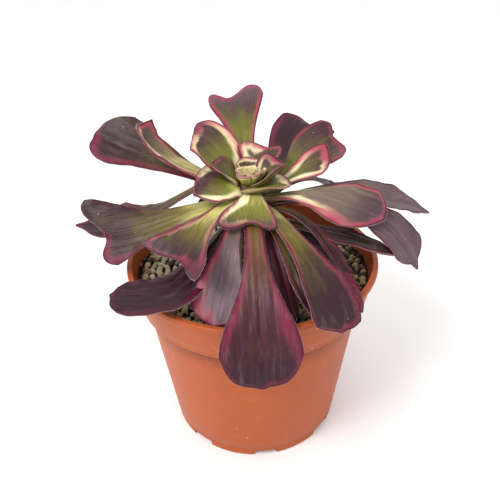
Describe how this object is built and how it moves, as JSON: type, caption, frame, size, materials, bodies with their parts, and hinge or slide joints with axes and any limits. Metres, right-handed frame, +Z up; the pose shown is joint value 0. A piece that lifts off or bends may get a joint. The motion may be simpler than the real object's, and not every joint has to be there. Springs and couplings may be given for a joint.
{
  "type": "potted aeonium",
  "caption": "Variegated rosette succulent with spoon-shaped, drooping leaves on a short stem, in a gravel-topped round plastic nursery pot.",
  "frame": {"origin": "centre of the pot's foot, on the surface it stands on", "axes": "+Z up along the pot's axis, -Y towards the front leaf that hangs over the rim, +X to the right as seen from the front"},
  "size_m": [0.1713, 0.1433, 0.1599],
  "materials": {
    "pot_plastic": "satin moulded terracotta-coloured plastic with fine pale specks",
    "potting_mix": "rough damp black potting mix",
    "gravel": "rough mixed cream, brown and grey grit",
    "stem_bark": "rough ringed bark",
    "leaf_young": "waxy olive leaf with cream and pink margins",
    "leaf_old": "waxy purple-brown leaf with fine streaks and crimson margins"
  },
  "bodies": {
    "root": {"pot": "pot_plastic", "soil": "potting_mix", "gravel": "gravel", "stem": "stem_bark", "rosette_heart": "leaf_young", "leaf_inner_right_back": "leaf_young", "leaf_inner_left_back": "leaf_young", "leaf_inner_back": "leaf_young", "leaf_inner_right": "leaf_young", "leaf_inner_left": "leaf_young", "leaf_inner_front": "leaf_young", "leaf_right_middle": "leaf_young", "leaf_left_middle": "leaf_young", "leaf_back_right_low": "leaf_old", "leaf_back_tall": "leaf_old", "leaf_right_broad": "leaf_old", "leaf_front_left": "leaf_old", "leaf_front_right": "leaf_old", "leaf_back_right_high": "leaf_old", "leaf_left_channelled": "leaf_old", "leaf_left_spoon": "leaf_old", "leaf_left_flared": "leaf_old", "leaf_front_large": "leaf_old", "leaf_right_long": "leaf_old", "leaf_front_right_inner": "leaf_old", "leaf_right_drooping": "leaf_old", "leaf_left_narrow": "leaf_old", "leaf_front_left_low": "leaf_old", "leaf_front_left_inner": "leaf_old", "leaf_right_thin": "leaf_old", "leaf_right_under": "leaf_old", "leaf_front_slim": "leaf_old", "leaf_front_right_low": "leaf_old", "leaf_left_strip": "leaf_old", "leaf_front_left_dark": "leaf_old", "leaf_right_dark": "leaf_old", "leaf_rear_1": "leaf_old", "leaf_rear_2": "leaf_old", "leaf_rear_3": "leaf_old", "leaf_rear_4": "leaf_old"}
  },
  "joints": []
}
